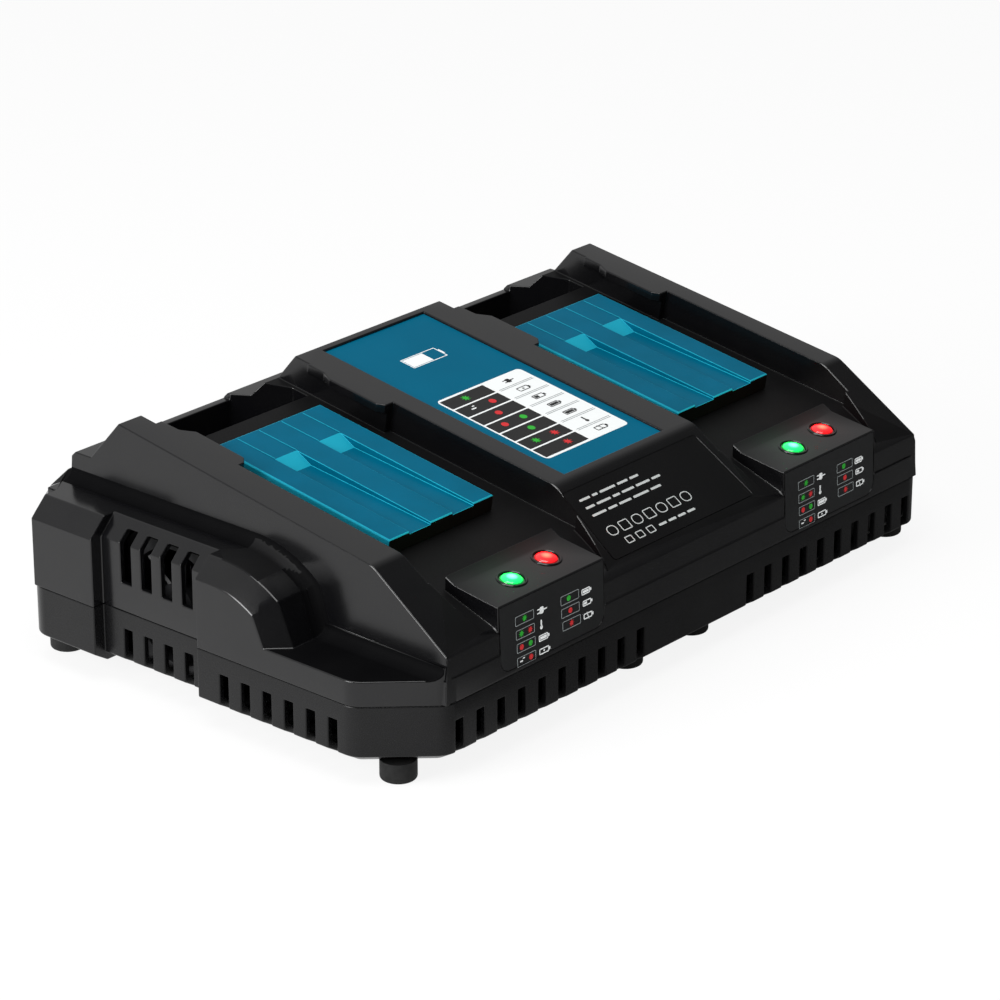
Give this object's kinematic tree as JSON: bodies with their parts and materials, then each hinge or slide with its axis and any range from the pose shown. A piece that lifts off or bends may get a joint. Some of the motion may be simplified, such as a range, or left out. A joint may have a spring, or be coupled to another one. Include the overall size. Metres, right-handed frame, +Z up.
{
  "type": "power tool battery charger",
  "caption": "Bench charger for slide-on power tool battery packs, with sloping bays, sprung sliding terminal covers, lamp blocks and a cooling fan.",
  "frame": {"origin": "middle of the footprint, on the surface that the feet stand on", "axes": "+X to the right along the long front edge, +Y to the rear, +Z up"},
  "size_m": [0.335, 0.2104, 0.0953],
  "materials": {
    "housing": "satin moulded ABS",
    "base": "satin moulded ABS",
    "cover": "satin blue moulded ABS",
    "label_blue": "printed polycarbonate label",
    "label_black": "printed polycarbonate label",
    "panel": "printed polycarbonate label",
    "rubber": "moulded rubber",
    "steel": "zinc-plated steel",
    "copper": "tinned copper alloy",
    "carrier": "glass-filled nylon",
    "green_lamp": "clear green acrylic",
    "red_lamp": "clear red acrylic",
    "board": "green solder mask",
    "ferrite": "sintered ferrite",
    "winding": "enamelled copper wire",
    "capacitor": "sleeved aluminium can",
    "aluminium": "extruded aluminium",
    "epoxy": "moulded epoxy",
    "glass": "clear glass tube",
    "fan": "moulded PBT"
  },
  "bodies": {
    "housing": {"upper_housing": "housing", "lower_housing": "base", "housing_screws": "steel", "centre_label": "label_blue", "rating_label": "label_black", "main_board": "board", "transformer_core": "ferrite", "transformer_winding": "winding", "rectifier": "epoxy", "filter_choke": "winding", "mains_fuse": "glass", "fuse_clips": "steel", "fan_frame": "fan", "mains_inlet": "housing", "inlet_pins": "steel", "bulk_capacitor_1": "capacitor", "bulk_capacitor_2": "capacitor", "heatsink_left": "aluminium", "heatsink_right": "aluminium", "foot_front_left": "rubber", "foot_front_mid_left": "rubber", "foot_front_mid_right": "rubber", "foot_front_right": "rubber", "foot_rear_left": "rubber", "foot_rear_mid_left": "rubber", "foot_rear_mid_right": "rubber", "foot_rear_right": "rubber", "cover_spring_left": "steel", "cover_guide_rod_left": "steel", "terminal_carrier_left": "carrier", "power_blades_left": "copper", "signal_pins_left": "copper", "green_lens_left": "green_lamp", "red_lens_left": "red_lamp", "indicator_board_left": "board", "indicator_emitters_left": "panel", "status_panel_left": "panel", "cover_spring_right": "steel", "cover_guide_rod_right": "steel", "terminal_carrier_right": "carrier", "power_blades_right": "copper", "signal_pins_right": "copper", "green_lens_right": "green_lamp", "red_lens_right": "red_lamp", "indicator_board_right": "board", "indicator_emitters_right": "panel", "status_panel_right": "panel"},
    "cover_left": {"terminal_cover_left": "cover"},
    "cover_right": {"terminal_cover_right": "cover"},
    "fan": {"fan_rotor": "fan"}
  },
  "joints": [
    {"name": "cover_slide_left", "type": "slide", "parent": "housing", "child": "cover_left", "axis": [0, -0.9881, -0.1537], "range_m": [0, 0.026], "stiffness_N_per_m": 70, "springref_m": -0.01, "deforming": ["cover_spring_left"]},
    {"name": "cover_slide_right", "type": "slide", "parent": "housing", "child": "cover_right", "axis": [0, -0.9881, -0.1537], "range_m": [0, 0.026], "stiffness_N_per_m": 70, "springref_m": -0.01, "deforming": ["cover_spring_right"]},
    {"name": "fan_spin", "type": "hinge", "parent": "housing", "child": "fan", "pos_m": [-0.1451, 0.024, 0.0355], "axis": [1, 0, 0], "continuous": true}
  ]
}
